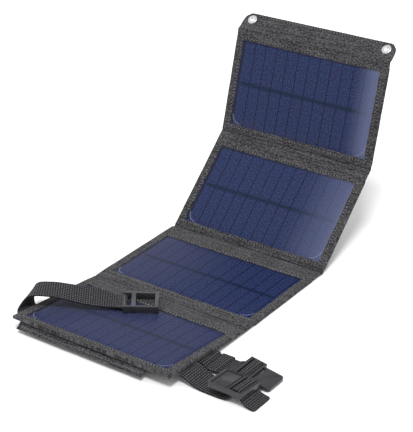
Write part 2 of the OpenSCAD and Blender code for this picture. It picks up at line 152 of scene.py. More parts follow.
def broad_normal(name):
    """Normal of a node's broadest face, on the side that looks up."""
    normal = max(frame["nodes"][name].data.polygons, key=lambda face: face.area).normal
    return (normal if normal.z > 0 else -normal).normalized()


def axes_frame(across, up, origin):
    """Matrix of a frame with the given X and Z directions and origin."""
    along = up.cross(across).normalized()
    matrix = Matrix((across, along, up)).transposed().to_4x4()
    matrix.translation = origin
    return matrix


def local_box(name, matrix):
    """Lowest and highest corner of a node in another frame."""
    inverse = matrix.inverted()
    points = [inverse @ point for point in node_points(name)]
    low = Vector([min(point[axis] for point in points) for axis in range(3)])
    high = Vector([max(point[axis] for point in points) for axis in range(3)])
    return low, high


def joint(name):
    return next(item for item in frame["joints"] if item["name"] == name)


# ---------------- panels and folds

Panel = namedtuple("Panel", "body frame flat block window top")
Fold = namedtuple("Fold", "low high flat start end")


def panel_frame(number):
    """Frame of a panel: origin below the middle of its cells, on the underside of its back cover."""
    up = broad_normal(f"solar_module_{number}")
    points = node_points(f"solar_module_{number}")
    middle = sum(points, Vector()) / len(points)
    floor = min(up.dot(point) for point in node_points(f"back_cover_{number}"))
    return axes_frame(ACROSS, up, middle + up * (floor - up.dot(middle)))


def tab_frame(top_frame):
    """Frame of the hanging tab, with its origin at the crease and the top panel's height."""
    crease = Vector(joint("tab_fold")["pos_m"])
    height = (top_frame.inverted() @ crease).z
    up = broad_normal("hang_tab")
    return axes_frame(ACROSS, up, crease - up * height)


def window_half(number, matrix, top):
    """Half width and half height of the window in a front cover."""
    inverse = matrix.inverted()
    points = [inverse @ point for point in node_points(f"front_cover_{number}")]
    rim = [point for point in points if point.z > top - 0.01 * MM]
    edge = max(point.x for point in rim)
    inner = [point for point in rim if abs(point.x) < edge - MM]
    return max(point.x for point in inner), max(point.y for point in inner)


def read_panels():
    """The four panels and the tab, each with its place along the flat strip."""
    names = ["base_panel", "second_panel", "third_panel", "top_panel"]
    panels = []
    flat = 0.0
    for number, body in enumerate(names, start=1):
        matrix = panel_frame(number)
        if panels:
            flat += crease_step(panels[-1].frame, matrix, f"fold_{number - 1}")
        low, high = local_box(f"front_cover_{number}", matrix)
        half = window_half(number, matrix, high.z)
        panels.append(Panel(body, matrix, flat, (flat + low.y, flat + high.y), half, high.z))
    matrix = tab_frame(panels[-1].frame)
    flat += crease_step(panels[-1].frame, matrix, "tab_fold")
    low, high = local_box("hang_tab", matrix)
    panels.append(Panel("tab", matrix, flat, (flat, flat + high.y), None, high.z))
    return panels


def crease_step(before, after, name):
    """Flat distance between two neighbouring frames, measured over their crease."""
    crease = Vector(joint(name)["pos_m"])
    return (before.inverted() @ crease).y - (after.inverted() @ crease).y


def read_folds(panels):
    """The creases, each with the millimetres of fabric that bend before and after it."""
    spreads = {"fold_1": (13, 10), "fold_2": (7, 2.4), "fold_3": (6, 2.6), "tab_fold": (3.5, 3.5)}
    folds = []
    for low, (name, (before, after)) in enumerate(spreads.items()):
        crease = Vector(joint(name)["pos_m"])
        flat = panels[low].flat + (panels[low].frame.inverted() @ crease).y
        folds.append(Fold(low, low + 1, flat, flat - before * MM, flat + after * MM))
    return folds


PANELS = read_panels()
FOLDS = read_folds(PANELS)
HALF_WIDTH = local_box("front_cover_1", PANELS[0].frame)[1].x
BAND_LOW, BAND_HIGH = local_box("fold_band_1_front", PANELS[0].frame)
TAB_LOW, TAB_HIGH = local_box("hang_tab", PANELS[4].frame)


def smooth(value):
    value = min(max(value, 0.0), 1.0)
    return value * value * (3 - 2 * value)


def on_strip(x, flat, height):
    """World place of a point of the flat strip."""
    for fold in FOLDS:
        if flat <= fold.end or fold is FOLDS[-1]:
            low = PANELS[fold.low]
            high = PANELS[fold.high]
            share = smooth((flat - fold.start) / (fold.end - fold.start))
            before = low.frame @ Vector((x, flat - low.flat, height))
            after = high.frame @ Vector((x, flat - high.flat, height))
            return before.lerp(after, share)


# ---------------- building meshes


def new_piece(name, mesh, material, sharp=40):
    for polygon in mesh.polygons:
        polygon.use_smooth = True
    mesh.set_sharp_from_angle(angle=math.radians(sharp))
    mesh.materials.clear()
    mesh.materials.append(material)
    piece = bpy.data.objects.new(name, mesh)
    bpy.context.scene.collection.objects.link(piece)
    return piece


def settle(piece, body, slot, *nodes):
    """Puts a piece on a body, in place of the CAD nodes it stands for."""
    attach(piece, body)
    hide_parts(*nodes)


def mesh_of(points, faces, uvs=None):
    """A welded mesh with outward normals; uvs holds one place per point."""
    mesh = bpy.data.meshes.new("piece")
    build = bmesh.new()
    layer = build.loops.layers.uv.new("cut") if uvs else None
    vertices = [build.verts.new(point) for point in points]
    for face in faces:
        try:
            made = build.faces.new([vertices[index] for index in face])
        except ValueError:
            continue
        if layer:
            for loop, index in zip(made.loops, face):
                loop[layer].uv = uvs[index]
    bmesh.ops.remove_doubles(build, verts=build.verts, dist=0.0005 * MM)
    bmesh.ops.dissolve_degenerate(build, edges=build.edges, dist=0.0005 * MM)
    bmesh.ops.recalc_face_normals(build, faces=build.faces)
    build.to_mesh(mesh)
    build.free()
    return mesh


def rounded_ends(values, radius, notch=0.0, ends=(True, True)):
    """Columns through sorted values, whose thickness rounds off over radius at the chosen ends."""
    inner = [
        Column(value, 1.0)
        for value in values
        if (not ends[0] or value > values[0] + radius) and (not ends[1] or value < values[-1] - radius)
    ]
    nose = [(math.sin(math.radians(a)), math.cos(math.radians(a))) for a in (5, 30, 52, 72)]
    nose.append((1.0 - notch / radius, 0.0))
    if ends[0]:
        start = values[0] + radius
        inner = [Column(start - radius * out, full) for out, full in reversed(nose)] + inner
    if ends[1]:
        start = values[-1] - radius
        inner = inner + [Column(start + radius * out, full) for out, full in nose]
    return inner


def loft(columns, rows, surface, ring=False):
    """A closed slab whose upper and lower points surface(u, v) gives; ring joins its last and first rows."""
    count = len(columns)
    points = []
    uvs = []
    for row in rows:
        for side in (0, 1):
            for column in columns:
                pair = surface(column.at, row.at)
                middle = (pair[0] + pair[1]) / 2
                points.append(middle + (pair[side] - middle) * column.fullness * row.fullness)
                uvs.append((column.at, row.at))

    def index(row, side, column):
        return (row * 2 + side) * count + column

    faces = []
    spans = [(row, row + 1) for row in range(len(rows) - 1)]
    if ring:
        spans.append((len(rows) - 1, 0))
    for low, high in spans:
        for column in range(count - 1):
            for side in (0, 1):
                faces.append((
                    index(low, side, column), index(low, side, column + 1),
                    index(high, side, column + 1), index(high, side, column),
                ))
        for column in (0, count - 1):
            if columns[column].fullness > 0:
                faces.append((
                    index(low, 0, column), index(low, 1, column),
                    index(high, 1, column), index(high, 0, column),
                ))
    if not ring:
        for row in (0, len(rows) - 1):
            if rows[row].fullness > 0:
                for column in range(count - 1):
                    faces.append((
                        index(row, 0, column), index(row, 0, column + 1),
                        index(row, 1, column + 1), index(row, 1, column),
                    ))
    return mesh_of(points, faces, uvs)


def spaced(start, end, step):
    """Even places from start to end, at most step apart."""
    count = max(1, math.ceil((end - start) / step - 1e-9))
    return [start + (end - start) * k / count for k in range(count + 1)]


def merged(values, gap):
    """Sorted values without near repeats."""
    result = []
    for value in sorted(values):
        if not result or value - result[-1] > gap:
            result.append(value)
    return result


def refined(name, bevel, material, angle=25):
    """A moulded CAD node with rounded edges."""
    mesh = frame["nodes"][name].data.copy()
    build = bmesh.new()
    build.from_mesh(mesh)
    bmesh.ops.remove_doubles(build, verts=build.verts, dist=0.001 * MM)
    bmesh.ops.dissolve_limit(
        build, angle_limit=math.radians(0.5), verts=build.verts, edges=build.edges
    )
    sharp = [
        edge
        for edge in build.edges
        if len(edge.link_faces) == 2 and edge.calc_face_angle() > math.radians(angle)
    ]
    bmesh.ops.bevel(
        build, geom=sharp, offset=bevel, offset_type="OFFSET", segments=2, profile=0.6,
        affect="EDGES", clamp_overlap=True,
    )
    bmesh.ops.remove_doubles(build, verts=build.verts, dist=0.002 * MM)
    bmesh.ops.dissolve_degenerate(build, edges=build.edges, dist=0.002 * MM)
    build.to_mesh(mesh)
    build.free()
    return new_piece(f"{name}_moulded", mesh, material, 50)


# ---------------- materials


def start_material(name, **shader_values):
    material = bpy.data.materials.new(name)
    material.use_nodes = True
    shader = material.node_tree.nodes["Principled BSDF"]
    for key, value in shader_values.items():
        shader.inputs[key.replace("_", " ")].default_value = value
    return material, material.node_tree, shader


def add(tree, kind, values=None, **settings):
    """A node with its settings; values that are sockets are linked, others are set."""
    node = tree.nodes.new(kind)
    for key, value in settings.items():
        setattr(node, key, value)
    for key, value in (values or {}).items():
        if isinstance(value, bpy.types.NodeSocket):
            tree.links.new(value, node.inputs[key])
        else:
            node.inputs[key].default_value = value
    return node


def math_of(tree, operation, first, second=0.0, clamp=False):
    values = {0: first, 1: second}
    return add(tree, "ShaderNodeMath", values, operation=operation, use_clamp=clamp).outputs[0]


def vector_of(tree, operation, first, second=(0, 0, 0)):
    return add(tree, "ShaderNodeVectorMath", {0: first, 1: second}, operation=operation)


def times(tree, first, second):
    return math_of(tree, "MULTIPLY", first, second)


def plus(tree, first, second):
    return math_of(tree, "ADD", first, second)


def feed(shader, name, value):
    """Links a value into the shader, in place of a link that is already there."""
    shader.id_data.links.new(value, shader.inputs[name])


def stretched(tree, place, scale, shift=(0, 0, 0)):
    values = {"Vector": place, "Location": shift, "Scale": scale}
    return add(tree, "ShaderNodeMapping", values).outputs[0]


def fade(tree, value, full, none):
    """1 where value is at full or before it, 0 from none on."""
    node = add(tree, "ShaderNodeMapRange", {0: value, 1: full, 2: none, 3: 1.0, 4: 0.0}, clamp=True)
    return node.outputs[0]


def mixed(tree, share, first, second):
    node = add(tree, "ShaderNodeMix", {0: share, 6: first, 7: second}, data_type="RGBA")
    return node.outputs[2]


def stripes(tree, place, period, direction):
    """Soft stripes from 0 to 1 with a period in metres, across X or Y."""
    wave = add(
        tree, "ShaderNodeTexWave", {"Vector": place, "Scale": math.pi / (10 * period)},
        wave_type="BANDS", bands_direction=direction, wave_profile="SIN",
    )
    return wave.outputs["Fac"]


def grain(tree, place, scale, detail=2.0, roughness=0.55):
    node = add(
        tree, "ShaderNodeTexNoise",
        {"Vector": place, "Scale": scale, "Detail": detail, "Roughness": roughness},
    )
    return node.outputs["Fac"]


def bumped(tree, height, distance, below=None):
    values = {"Height": height, "Distance": distance, "Strength": 1.0}
    if below is not None:
        values["Normal"] = below
    return add(tree, "ShaderNodeBump", values).outputs["Normal"]


def cut_place(tree):
    return add(tree, "ShaderNodeUVMap", uv_map="cut").outputs["UV"]


def body_place(tree):
    return add(tree, "ShaderNodeTexCoord").outputs["Object"]


def pack_cloth_material():
    """Heathered charcoal oxford cloth, with painted shade in the creases along the folds."""
    material, tree, shader = start_material(
        "charcoal_oxford", Roughness=0.9, Specular_IOR_Level=0.25, Sheen_Weight=0.1, Sheen_Roughness=0.5
    )
    place = cut_place(tree)
    warp = stripes(tree, place, 0.9 * MM, "X")
    weft = stripes(tree, place, 0.9 * MM, "Y")
    weave = times(tree, warp, weft)
    fleck = grain(tree, stretched(tree, place, (0.62, 1.25, 1.0)), 620, 2.0, 0.6)
    crease = grain(tree, stretched(tree, place, (0.12, 1.4, 1.0)), 260, 2.0, 0.6)
    patch = grain(tree, place, 45)
    dark = (0.006, 0.006, 0.007, 1)
    light = (0.118, 0.114, 0.122, 1)
    tone = times(tree, fleck, 2.6)
    for layer, weight in ((crease, 0.9), (patch, 0.35), (weave, 0.35)):
        tone = plus(tree, tone, times(tree, layer, weight))
    share = math_of(tree, "SUBTRACT", tone, 1.70, clamp=True)
    # painted shade in the creases darkens the cloth along the folds
    lines = crease_shade(tree, place)
    share = times(tree, share, math_of(tree, "SUBTRACT", 1.0, lines))
    feed(shader, "Base Color", mixed(tree, share, dark, light))
    slub = bumped(tree, fleck, 0.25 * MM)
    feed(shader, "Normal", bumped(tree, weave, 0.12 * MM, slub))
    return material


def crease_shade(tree, place):
    """Painted shade: dark lines that wander along the folds, where the cloth is creased."""
    flat = add(tree, "ShaderNodeSeparateXYZ", {0: place}).outputs[1]
    lines = 0.0
    for fold in FOLDS[:3]:
        for number, (offset, depth) in enumerate(((0, 0.75), (-3.4, 0.45), (3.1, 0.35))):
            drift = grain(tree, stretched(tree, place, (1.0, 0.1, 1.0), (number, 0, 0)), 22)
            terms = {0: drift, 1: 4 * MM, 2: -2 * MM - offset * MM - fold.flat}
            sway = add(tree, "ShaderNodeMath", terms, operation="MULTIPLY_ADD").outputs[0]
            off = math_of(tree, "ABSOLUTE", plus(tree, flat, sway))
            width = (0.9 - 0.2 * number) * MM
            line = times(tree, fade(tree, off, 0.1 * MM, width), depth)
            lines = math_of(tree, "MAXIMUM", line, lines)
    return lines


def webbing_material():
    """Ribbed polypropylene webbing: ribs across, columns of yarn along."""
    material, tree, shader = start_material(
        "ribbed_webbing", Roughness=0.8, Specular_IOR_Level=0.25, Sheen_Weight=0.04, Sheen_Roughness=0.4
    )
    place = cut_place(tree)
    columns = stripes(tree, place, 2.4 * MM, "X")
    ribs = stripes(tree, place, 2.1 * MM, "Y")
    grid = times(tree, columns, ribs)
    fleck = grain(tree, place, 800, 2.0, 0.65)
    dark = (0.007, 0.007, 0.008, 1)
    light = (0.165, 0.158, 0.180, 1)
    tone = plus(tree, times(tree, grid, 0.85), times(tree, fleck, 1.5))
    share = math_of(tree, "SUBTRACT", tone, 0.86, clamp=True)
    feed(shader, "Base Color", mixed(tree, share, dark, light))
    yarn = bumped(tree, fleck, 0.16 * MM)
    feed(shader, "Normal", bumped(tree, grid, 0.35 * MM, yarn))
    return material


def thread_material(name, colour):
    material, tree, shader = start_material(name, Roughness=0.55, Base_Color=colour)
    place = body_place(tree)
    twist = grain(tree, place, 2600)
    dark = tuple(channel * 0.55 for channel in colour[:3]) + (1,)
    feed(shader, "Base Color", mixed(tree, twist, dark, colour))
    feed(shader, "Normal", bumped(tree, twist, 0.08 * MM))
    return material


def plastic_material(name, colour, rough=0.42):
    """Moulded plastic with a fine spark eroded grain and slightly dusty patches."""
    material, tree, shader = start_material(name, Roughness=rough)
    place = body_place(tree)
    fine = grain(tree, place, 2400)
    cloudy = grain(tree, place, 130, 3.0)
    dusty = tuple(min(1.0, channel * 1.9 + 0.008) for channel in colour[:3]) + (1,)
    share = times(tree, times(tree, cloudy, cloudy), 0.9)
    feed(shader, "Base Color", mixed(tree, share, colour, dusty))
    rough_low = times(tree, cloudy, 0.22)
    feed(shader, "Roughness", plus(tree, rough_low, rough - 0.1))
    feed(shader, "Normal", bumped(tree, fine, 0.035 * MM))
    return material


def metal_material(name, colour, rough, brush=0.012):
    """Plated metal with fine handling marks."""
    material, tree, shader = start_material(name, Metallic=1.0, Roughness=rough)
    place = body_place(tree)
    cloudy = grain(tree, place, 240, 3.0)
    marks = grain(tree, place, 1900, 4.0, 0.7)
    dull = tuple(channel * 0.72 for channel in colour[:3]) + (1,)
    feed(shader, "Base Color", mixed(tree, cloudy, dull, colour))
    spread = times(tree, cloudy, 0.22)
    feed(shader, "Roughness", plus(tree, spread, rough))
    feed(shader, "Normal", bumped(tree, marks, brush * MM))
    return material


def board_material():
    """Green glass fibre board with lighter copper runs under the mask."""
    material, tree, shader = start_material("board_mask", Roughness=0.35)
    place = body_place(tree)
    runs = stripes(tree, place, 2.6 * MM, "X")
    line = math_of(tree, "GREATER_THAN", runs, 0.72)
    tint = mixed(tree, line, (0.010, 0.085, 0.030, 1), (0.030, 0.165, 0.060, 1))
    feed(shader, "Base Color", tint)
    feed(shader, "Normal", bumped(tree, line, 0.05 * MM))
    return material


def lens_material():
    material, tree, shader = start_material(
        "light_pipe", Roughness=0.18, Transmission_Weight=0.6, IOR=1.49
    )
    place = body_place(tree)
    cloudy = grain(tree, place, 700)
    tint = mixed(tree, cloudy, (0.42, 0.62, 0.42, 1), (0.75, 0.9, 0.72, 1))
    feed(shader, "Base Color", tint)
    return material


def cell_material(number, half_w, half_h, painted_reflection):
    """Laminated solar cells, drawn in the panel's own metres, with a painted reflection; the two low panels shine
    less.
    """
    is_low = number < 3
    material, tree, shader = start_material(
        f"solar_cells_{number}", Roughness=0.34, Specular_IOR_Level=0.04 if is_low else 0.16
    )
    place = cut_place(tree)
    parts = add(tree, "ShaderNodeSeparateXYZ", {0: place})
    x, y = parts.outputs[0], parts.outputs[1]
    cloud = grain(tree, place, 60, 3.0)
    speck = grain(tree, place, 640, 2.0, 0.7)
    line = cell_gaps(tree, x, half_w)
    arc = corner_arc(tree, x, y, half_w - 1.6 * MM, half_h - 1.2 * MM, 9.5 * MM)
    # tint of the painted reflection on the cells
    reflection_tint = (0.150, 0.140, 0.180, 1) if is_low else (0.140, 0.155, 0.260, 1)
    layers = [
        (times(tree, stripes(tree, place, 1.27 * MM, "X"), 0.18), (0.036, 0.058, 0.125, 1)),
        (times(tree, fade(tree, speck, 0.64, 0.44), 0.34), (0.060, 0.082, 0.160, 1)),
        (times(tree, fade(tree, speck, 0.36, 0.52), 0.36), (0.002, 0.003, 0.022, 1)),
        (times(tree, line, 0.97), (0.001, 0.001, 0.007, 1)),
        (middle_band(tree, x, y, half_w), (0.003, 0.010, 0.026, 1)),
        # painted shadow of the window's left and far edges
        (window_edge_shadow(tree, x, y, half_w, half_h), (0.006, 0.008, 0.026, 1)),
        (times(tree, arc, 0.55), (0.30, 0.33, 0.42, 1)),
        # painted reflection, lighter towards one side of the panel
        (gleam(tree, x, half_w, painted_reflection), reflection_tint),
    ]
    colour = mixed(tree, cloud, (0.002, 0.018, 0.064, 1), (0.017, 0.013, 0.064, 1))
    for share, tint in layers:
        colour = mixed(tree, share, colour, tint)
    feed(shader, "Base Color", colour)
    relief = plus(tree, times(tree, speck, 0.5), times(tree, line, -0.5))
    feed(shader, "Normal", bumped(tree, relief, 0.05 * MM))
    feed(shader, "Roughness", plus(tree, times(tree, cloud, 0.14), 0.26))
    return material


def cell_gaps(tree, x, half_w):
    """Dark lines between the twelve columns of cells."""
    reach = half_w - CELL_MARGIN
    gap = math_of(tree, "PINGPONG", plus(tree, x, reach), reach / 12)
    return fade(tree, gap, 0.25 * MM, 0.45 * MM)


def middle_band(tree, x, y, half_w):
    """Dark band along the middle, between the two rows of cells."""
    band = fade(tree, math_of(tree, "ABSOLUTE", y), 0.4 * MM, 3.2 * MM)
    inside = fade(tree, math_of(tree, "ABSOLUTE", x), half_w - 5 * MM, half_w - 3.5 * MM)
    return times(tree, times(tree, band, inside), 0.8)


def window_edge_shadow(tree, x, y, half_w, half_h):
    """Painted shadow of the window's edge: a dark border left of the cells and behind them."""
    left = fade(tree, x, CELL_MARGIN - half_w, CELL_MARGIN + 0.8 * MM - half_w)
    top = fade(tree, times(tree, y, -1.0), -half_h + 1.1 * MM, -half_h + 1.8 * MM)
    return times(tree, math_of(tree, "MAXIMUM", left, top), 0.75)


def gleam(tree, x, half_w, painted_reflection):
    """Pale painted reflection; painted_reflection gives where it starts and is full, in half widths, and its
    strength.
    """
    start, end, amount = painted_reflection
    rise = add(
        tree, "ShaderNodeMapRange", {0: x, 1: start * half_w, 2: end * half_w, 3: 0.0, 4: 1.0},
        interpolation_type="SMOOTHSTEP",
    ).outputs[0]
    return times(tree, rise, amount)


def corner_arc(tree, x, y, edge_x, edge_y, radius):
    """Thin arcs across the two front corners, where the cells' corners are cut."""
    out_x = math_of(tree, "SUBTRACT", math_of(tree, "ABSOLUTE", x), edge_x - radius)
    out_y = math_of(tree, "SUBTRACT", times(tree, y, -1.0), edge_y - radius)
    in_corner = math_of(tree, "GREATER_THAN", math_of(tree, "MINIMUM", out_x, out_y), 0.6 * MM)
    spot = add(tree, "ShaderNodeCombineXYZ", {0: out_x, 1: out_y}).outputs[0]
    reach = vector_of(tree, "LENGTH", spot).outputs[1]
    off = math_of(tree, "ABSOLUTE", math_of(tree, "SUBTRACT", reach, radius))
    return times(tree, fade(tree, off, 0.12 * MM, 0.45 * MM), in_corner)


def floor_material():
    material, tree, shader = start_material("pale_floor", Roughness=0.9, Specular_IOR_Level=0.1)
    place = body_place(tree)
    shade = mixed(tree, grain(tree, place, 3), (0.93, 0.93, 0.93, 1), (0.96, 0.96, 0.96, 1))
    feed(shader, "Base Color", shade)
    return material


CLOTH = pack_cloth_material()
WEBBING = webbing_material()
THREAD = thread_material("seam_thread", (0.33, 0.335, 0.36, 1))
# near black marks for the stitch holes: painted shade
HOLE_SHADE = thread_material("stitch_hole_shade", (0.012, 0.012, 0.012, 1))
BUCKLE_PLASTIC = plastic_material("buckle_grain", BUCKLE_COLOUR, 0.28)
BOX_PLASTIC = plastic_material("box_grain", (0.012, 0.012, 0.013, 1), 0.5)
COPPER = metal_material("tinned_copper", (0.72, 0.44, 0.27, 1), 0.3, 0.02)
LEAD_SLEEVE = plastic_material("lead_sleeve", (0.030, 0.030, 0.032, 1), 0.7)


# ---------------- fabric strip


def strip_columns():
    """Places across the strip, close together at the window's edge."""
    half_w = PANELS[0].window[0]
    edge = [half_w + step * MM for step in RIM_STEPS + [4.4, 5.6, 6.6]]
    inner = spaced(0, half_w - 1.5 * MM, 6 * MM)
    half = merged(inner + edge + [HALF_WIDTH], 0.1 * MM)
    values = sorted({-value for value in half} | set(half))
    return rounded_ends(values, EDGE_RADIUS, EDGE_NOTCH)


def strip_rows(start, end):
    """Places along the strip, close together at the windows' edges and the folds."""
    values = spaced(start, end, 5 * MM)
    for panel in PANELS[:4]:
        for side in (-1, 1):
            edge = panel.flat + side * panel.window[1]
            values += [edge + side * step * MM for step in RIM_STEPS]
            border = panel.block[side > 0]
            values += spaced(*sorted((border, border + side * BLOCK_SLOPE)), 0.6 * MM)
    for fold in FOLDS:
        values += spaced(fold.start - 4 * MM, fold.end + MM, 0.55 * MM)
    inside = [value for value in values if start + 0.2 * MM < value < end - 0.2 * MM]
    return [start] + merged(inside, 0.12 * MM) + [end]


def outside_blocks(flat):
    """Distance from the nearest stiffened panel, along the strip."""
    return min(
        max(panel.block[0] - flat, flat - panel.block[1], 0.0) for panel in PANELS[:4]
    )


def outside_window(x, flat):
    """Distance from the nearest window, below zero inside it."""
    return min(
        max(abs(x) - panel.window[0], abs(flat - panel.flat) - panel.window[1])
        for panel in PANELS[:4]
    )


def tab_share(flat):
    return smooth((flat - FOLDS[3].flat) / (1.5 * MM))


def strip_half_width(flat):
    """Half the strip's width, which rounds off at the tab's corners."""
    over = flat - (PANELS[4].block[1] - TAB_CORNER)
    if over <= 0:
        return HALF_WIDTH
    return HALF_WIDTH - TAB_CORNER + math.sqrt(max(TAB_CORNER**2 - over**2, 0.0))


def strip_wrinkle(x, flat):
    """Height of the soft wrinkles, which run along the folds on the bare fabric."""
    bare = smooth(outside_blocks(flat) / (3 * MM))
    drift = 1.1 * MM * noise.noise(Vector((x * 16, 0.4, 1.9)))
    along_fold = noise.noise(Vector((x * 8, (flat + drift) * 105, 3.1)))
    fine = noise.noise(Vector((x * 60, flat * 230, 8.7)))
    creases = sum(math.exp(-(((flat + drift - fold.flat) / (1.0 * MM)) ** 2)) for fold in FOLDS[:3])
    waves = noise.noise(Vector((x * 30, flat * 45, 5.5)))
    wrinkle = bare * (0.40 * along_fold + 0.12 * fine - 0.65 * creases) + 0.12 * waves
    return max(wrinkle, -WRINKLE_LIMIT / MM) * MM


def strip_heights(x, flat):
    """Upper and lower height of the fabric at a place of the flat strip."""
    step = smooth(outside_blocks(flat) / BLOCK_SLOPE)
    tab = tab_share(flat)
    band_high = BAND_HIGH.z + BAND_PROUD
    high = band_high + (TAB_HIGH.z - band_high) * tab
    low = BAND_LOW.z + (TAB_LOW.z - BAND_LOW.z) * tab
    upper = PANELS[0].top + (high - PANELS[0].top) * step
    lower = low * step
    away = outside_window(x, flat)
    if away < -0.1 * MM:
        return WINDOW_FLOOR, lower
    if away < LIP_RADIUS:
        upper -= LIP_DROP * (1 - max(away, 0) / LIP_RADIUS) ** 2
    upper -= SEAM_DIP * math.exp(-(((away - SEAM_OUT) / (0.55 * MM)) ** 2))
    wrinkle = strip_wrinkle(x, flat)
    return upper + wrinkle, lower + wrinkle * step


def strip_surface(x, flat):
    wide = x * strip_half_width(flat) / HALF_WIDTH
    wide += math.copysign(0.25 * MM, x) * noise.noise(Vector((flat * 60, 2.2, x * 0.01)))
    upper, lower = strip_heights(wide, flat)
    near_edge = 1 - smooth(abs(outside_window(wide, flat)) / (4 * MM))
    wander = EDGE_WANDER * near_edge
    wide += wander * noise.noise(Vector((wide * 70, flat * 70, 1.7)))
    flat_place = flat + wander * noise.noise(Vector((wide * 70, flat * 70, 9.3)))
    return on_strip(wide, flat_place, upper), on_strip(wide, flat, lower)


def strip_piece(name, start, end, nodes, fold, rounded):
    """A stretch of the strip, which bends over a fold or, without one, rides on the base panel."""
    rows = rounded_ends(strip_rows(start, end), EDGE_RADIUS, EDGE_NOTCH, rounded)
    piece = new_piece(name, loft(strip_columns(), rows, strip_surface), CLOTH, 55)
    if fold:
        blend_over(piece)
    else:
        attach(piece, "base_panel")
    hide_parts(*nodes)
    return piece


def cut_eyelet_holes(piece):
    """Cuts the tab where the eyelets' barrels pass through it."""
    for side in ("eyelet_left", "eyelet_right"):
        mount = next(item for item in frame["record"]["mounts"] if item["name"] == side)
        axis = Vector(mount["axis"])
        build = bmesh.new()
        bmesh.ops.create_cone(
            build, cap_ends=True, segments=40, radius1=EYELET_HOLE, radius2=EYELET_HOLE, depth=12 * MM,
            matrix=Matrix.Translation(mount["pos_m"]) @ axis.to_track_quat("Z", "Y").to_matrix().to_4x4(),
        )
        mesh = bpy.data.meshes.new("cutter")
        build.to_mesh(mesh)
        build.free()
        cutter = bpy.data.objects.new("cutter", mesh)
        bpy.context.scene.collection.objects.link(cutter)
        cut = piece.modifiers.new("cut", "BOOLEAN")
        cut.operation = "DIFFERENCE"
        cut.solver = "EXACT"
        cut.object = cutter
        apply_modifiers(piece)
        bpy.data.objects.remove(cutter)


def apply_modifiers(piece):
    """Replaces a piece's mesh with the one its modifiers make."""
    graph = bpy.context.evaluated_depsgraph_get()
    mesh = bpy.data.meshes.new_from_object(piece.evaluated_get(graph))
    piece.modifiers.clear()
    old = piece.data
    piece.data = mesh
    bpy.data.meshes.remove(old)


def cell_face(number):
    """Laminated cells of one panel, tucked under the window's edge."""
    panel = PANELS[number - 1]
    low, high = local_box(f"solar_module_{number}", panel.frame)
    half_w, half_h = panel.window
    columns = rounded_ends(spaced(-half_w - CELL_TUCK, half_w + CELL_TUCK, 9 * MM), 0.3 * MM)
    rows = rounded_ends(spaced(-half_h - CELL_TUCK, half_h + CELL_TUCK, 9 * MM), 0.3 * MM)

    def surface(x, y):
        ripple = 0.05 * MM * noise.noise(Vector((x * 40, y * 40, number * 3.3)))
        top = panel.frame @ Vector((x, y, high.z + ripple))
        return top, panel.frame @ Vector((x, y, low.z))

    material = cell_material(number, half_w, half_h, PAINTED_REFLECTIONS[number - 1])
    piece = new_piece(f"cell_face_{number}", loft(columns, rows, surface), material)
    settle(piece, panel.body, "cell_face", f"solar_module_{number}")


def lead_ribbons(number):
    """Flat leads inside the fabric between two panels.

    They bend with the fabric, but the second fold opens too far for them to
    stay inside it, so its leads end at the stiffened panels on either side.
    Those of the third fold run on into the top panel.
    """
    fold = FOLDS[number - 1]
    low, high = PANELS[fold.low], PANELS[fold.high]
    start = low.flat + low.window[1] + LEAD_REACH
    end = high.flat - high.window[1] - LEAD_REACH
    pieces = []
    for side in ("left", "right"):
        name = f"lead_ribbon_{number}_{side}"
        if number == 2:
            lower = lead_piece(f"{name}_low", number, side, start, low.block[1])
            upper = lead_piece(f"{name}_high", number, side, high.block[0], end)
            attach(lower, low.body)
            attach(upper, high.body)
            pieces += [lower, upper]
        else:
            piece = lead_piece(name, number, side, start, end)
            blend_over(piece)
            pieces.append(piece)
    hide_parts(f"link_leads_{number}")
    if number == 3:
        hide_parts("link_leads_4")


def lead_piece(name, number, side, start, end):
    """One flat lead, halfway between the fabric's two faces where it is bare."""
    low, high = local_box(f"link_leads_{number}", PANELS[FOLDS[number - 1].low].frame)
    half = (high.z - low.z) / 2
    inner = high.x - LEAD_WIDTH

    def surface(x, flat):
        upper, lower = strip_heights(x, flat)
        share = smooth(outside_blocks(flat) / BLOCK_SLOPE)
        middle = (high.z + low.z) / 2 * (1 - share) + (upper + lower) / 2 * share
        return on_strip(x, flat, middle + half), on_strip(x, flat, middle - half)

    across = (inner, high.x) if side == "right" else (-high.x, -inner)
    columns = rounded_ends(across, 0.1 * MM)
    rows = [Column(at, 1.0) for at in strip_rows(start, end)]
    piece = new_piece(name, loft(columns, rows, surface), LEAD_SLEEVE)
    return piece


def blend_over(piece):
    """Bakes a piece's placement into its mesh; the piece is not put on any body."""
    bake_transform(piece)


def build_strip():
    """The strip, in pieces that meet under the middles of the cells, with its cells and leads."""
    places = [PANELS[0].block[0]] + [panel.flat for panel in PANELS[:4]] + [PANELS[4].block[1]]
    stretches = [
        ("strip_base_front", ["front_cover_1", "back_cover_1"]),
        ("strip_fold_1", ["fold_band_1_front", "fold_band_1_back"]),
        ("strip_fold_2", ["front_cover_2", "back_cover_2", "fold_band_2"]),
        ("strip_fold_3", ["front_cover_3", "back_cover_3", "fold_band_3"]),
        ("strip_tab", ["front_cover_4", "back_cover_4", "tab_band", "hang_tab"]),
    ]
    for k, (name, nodes) in enumerate(stretches):
        fold = FOLDS[k - 1] if k else None
        piece = strip_piece(name, places[k], places[k + 1], nodes, fold, (k == 0, k == 4))
    cut_eyelet_holes(piece)
    for number in range(1, 5):
        cell_face(number)
    for number in range(1, 4):
        lead_ribbons(number)


# ---------------- stitching


def stitch_mesh(stitches, radius):
    """Small spindle shaped stitches; each is (start, end, normal)."""
    points = []
    faces = []
    for start, end, up in stitches:
        base = len(points)
        side = (end - start).cross(up).normalized() * radius
        middle = (start + end) / 2
        points += [start, end, middle + side, middle + up * radius, middle - side, middle - up * radius]
        for k in range(4):
            first, second = base + 2 + k, base + 2 + (k + 1) % 4
            faces += [(base, first, second), (base + 1, second, first)]
    return mesh_of(points, faces)


